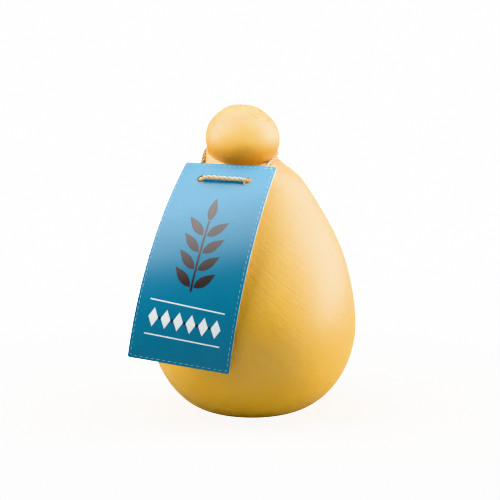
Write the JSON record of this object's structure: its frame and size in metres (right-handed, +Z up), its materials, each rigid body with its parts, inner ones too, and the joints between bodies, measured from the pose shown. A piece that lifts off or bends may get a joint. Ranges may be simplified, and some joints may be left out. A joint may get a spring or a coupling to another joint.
{
  "type": "caciocavallo cheese",
  "caption": "Pear-shaped caciocavallo cheese with a round head above a tied neck, a smooth golden rind and a stitched card tag hung on twine.",
  "frame": {"origin": "middle of the small flat spot on which the cheese stands", "axes": "+Z up through the head, -Y towards the front where the tag hangs, +X to the right seen from the front"},
  "size_m": [0.151, 0.1445, 0.2094],
  "materials": {
    "rind": "smooth waxy golden rind, satin",
    "card": "blue printed card with a satin face and cream edges",
    "twine": "natural twisted twine, matt"
  },
  "bodies": {
    "root": {"cheese": "rind", "tag": "card", "twine": "twine", "knot": "twine"}
  },
  "joints": []
}
